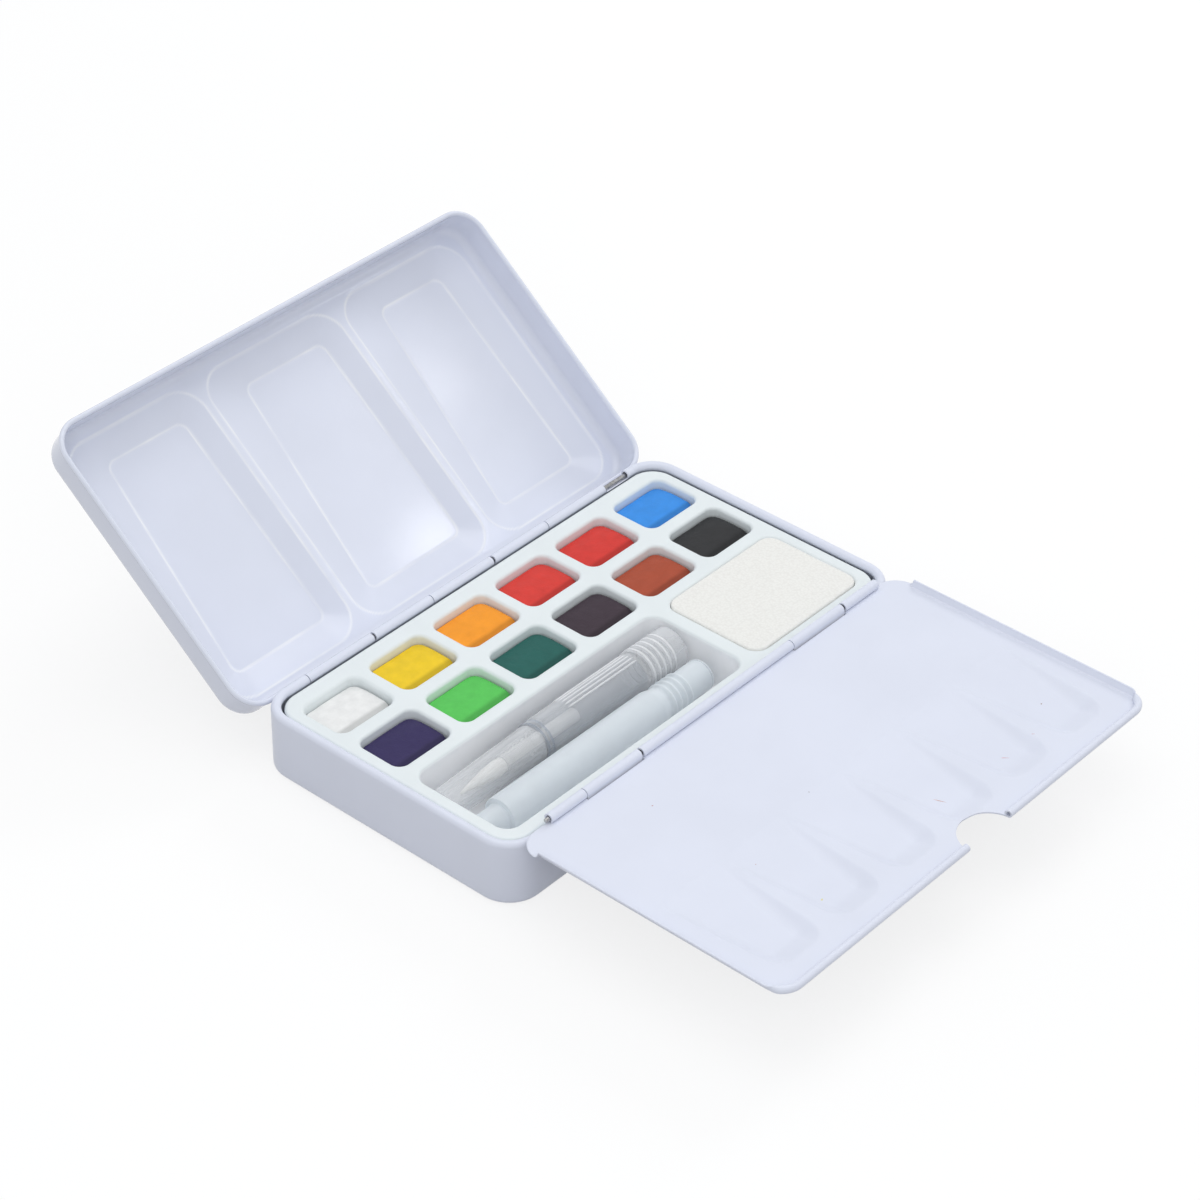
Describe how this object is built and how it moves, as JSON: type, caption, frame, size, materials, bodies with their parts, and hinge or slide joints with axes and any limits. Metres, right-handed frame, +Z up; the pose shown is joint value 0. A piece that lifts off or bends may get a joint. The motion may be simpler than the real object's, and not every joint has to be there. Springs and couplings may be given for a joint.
{
  "type": "watercolour paint set",
  "caption": "Open white pocket paint tin with a hinged welled lid, a fold-out mixing flap, a tray of paint cakes, a sponge and a two-part water brush.",
  "frame": {"origin": "middle of the tin's flat underside", "axes": "+X along both hinges, to the right seen from the flap; +Y from the flap to the lid; +Z up"},
  "size_m": [0.1506, 0.2348, 0.0681],
  "materials": {
    "tin_enamel": "gloss",
    "lid_enamel": "gloss",
    "flap_enamel": "gloss",
    "hinge_wire": "satin",
    "tray_plastic": "satin",
    "sponge_foam": "matte",
    "clear_plastic": "gloss",
    "frosted_plastic": "satin",
    "bristle": "matte",
    "feed_fibre": "matte",
    "cake_white": "satin",
    "cake_yellow": "satin",
    "cake_orange": "satin",
    "cake_scarlet": "satin",
    "cake_crimson": "satin",
    "cake_blue": "satin",
    "cake_violet": "satin",
    "cake_light_green": "satin",
    "cake_dark_green": "satin",
    "cake_plum": "satin",
    "cake_brown": "satin",
    "cake_black": "satin"
  },
  "bodies": {
    "root": {"base_tin": "tin_enamel", "lid_hinge_wire": "hinge_wire", "flap_hinge_wire": "hinge_wire", "paint_tray": "tray_plastic", "paint_cake_white": "cake_white", "paint_cake_yellow": "cake_yellow", "paint_cake_orange": "cake_orange", "paint_cake_scarlet": "cake_scarlet", "paint_cake_crimson": "cake_crimson", "paint_cake_blue": "cake_blue", "paint_cake_violet": "cake_violet", "paint_cake_light_green": "cake_light_green", "paint_cake_dark_green": "cake_dark_green", "paint_cake_plum": "cake_plum", "paint_cake_brown": "cake_brown", "paint_cake_black": "cake_black", "sponge": "sponge_foam", "brush_grip": "clear_plastic", "brush_feed": "feed_fibre", "brush_tuft": "bristle", "brush_cap": "clear_plastic", "reservoir_barrel": "frosted_plastic", "reservoir_plug": "frosted_plastic"},
    "lid": {"lid": "lid_enamel"},
    "flap": {"mixing_flap": "flap_enamel"}
  },
  "joints": [
    {"name": "lid_hinge", "type": "hinge", "parent": "root", "child": "lid", "pos_m": [0, 0.04087, 0.0172], "axis": [1, 0, 0], "range_deg": [0, 141.4]},
    {"name": "flap_hinge", "type": "hinge", "parent": "root", "child": "flap", "pos_m": [0, -0.0412, 0.02065], "axis": [-1, 0, 0], "range_deg": [0, 180]}
  ]
}
